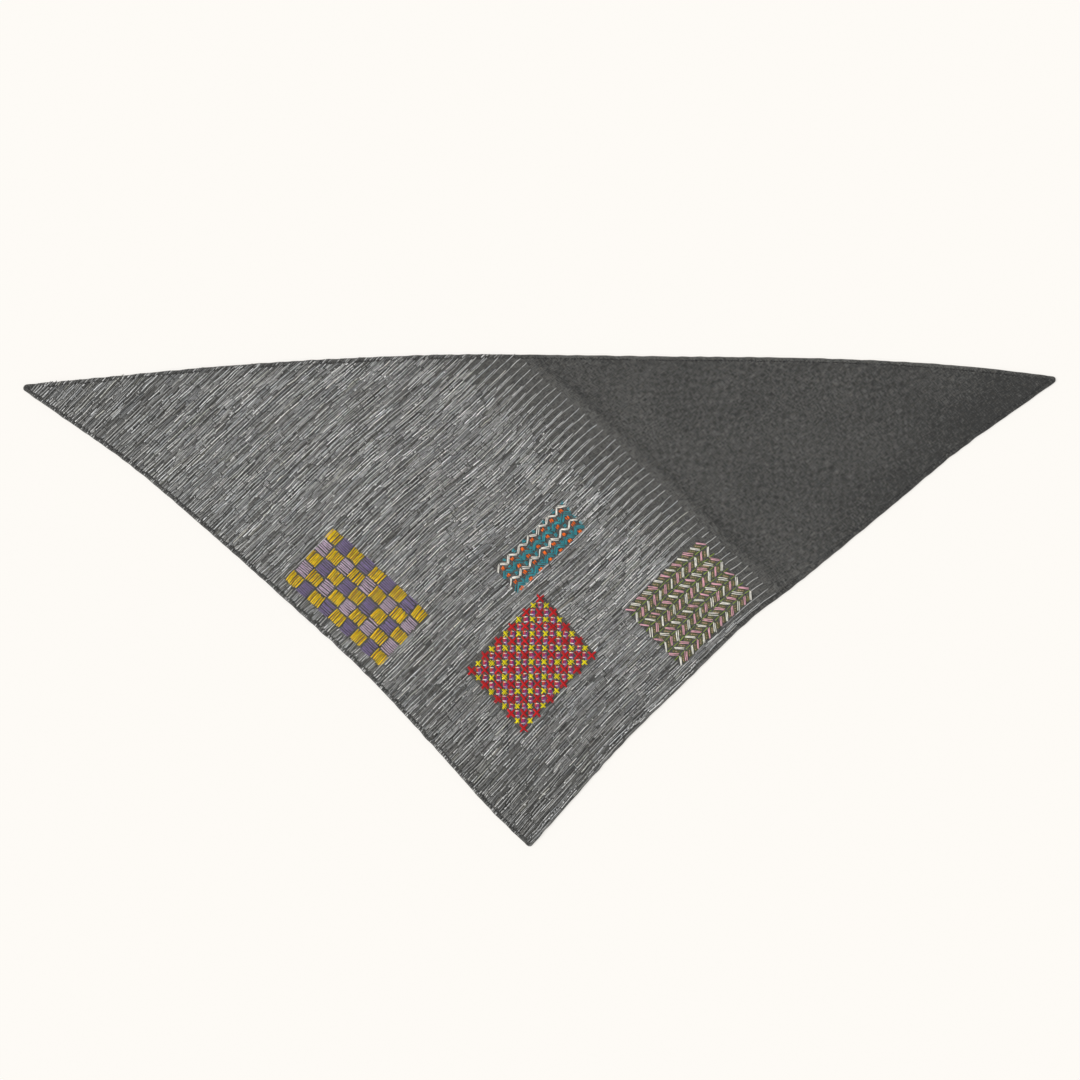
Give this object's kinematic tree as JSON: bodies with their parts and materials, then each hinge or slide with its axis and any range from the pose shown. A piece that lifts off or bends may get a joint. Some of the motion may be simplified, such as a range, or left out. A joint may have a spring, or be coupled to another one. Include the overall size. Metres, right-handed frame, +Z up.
{
  "type": "kerchief",
  "caption": "Triangular cotton kerchief laid flat, face up, charcoal cloth with a ground of close running stitches, coloured stitched blocks and narrow turned hems.",
  "frame": {"origin": "on the surface that the kerchief lies on, under the middle of its bounding box", "axes": "+X along the long edge towards the tip with the plain corner, +Y from the lower tip towards the long edge, +Z up through the cloth, out of its face"},
  "size_m": [0.9494, 0.4526, 0.0025],
  "materials": {
    "stitched_cloth": "matt charcoal cotton under close pale grey running stitches",
    "plain_cloth": "matt charcoal cotton",
    "stitch_thread": "soft matt cotton thread"
  },
  "bodies": {
    "root": {"cloth_panel": "stitched_cloth", "hem_left_edge": "plain_cloth", "hem_right_edge": "plain_cloth", "hem_long_edge": "plain_cloth"}
  },
  "joints": []
}
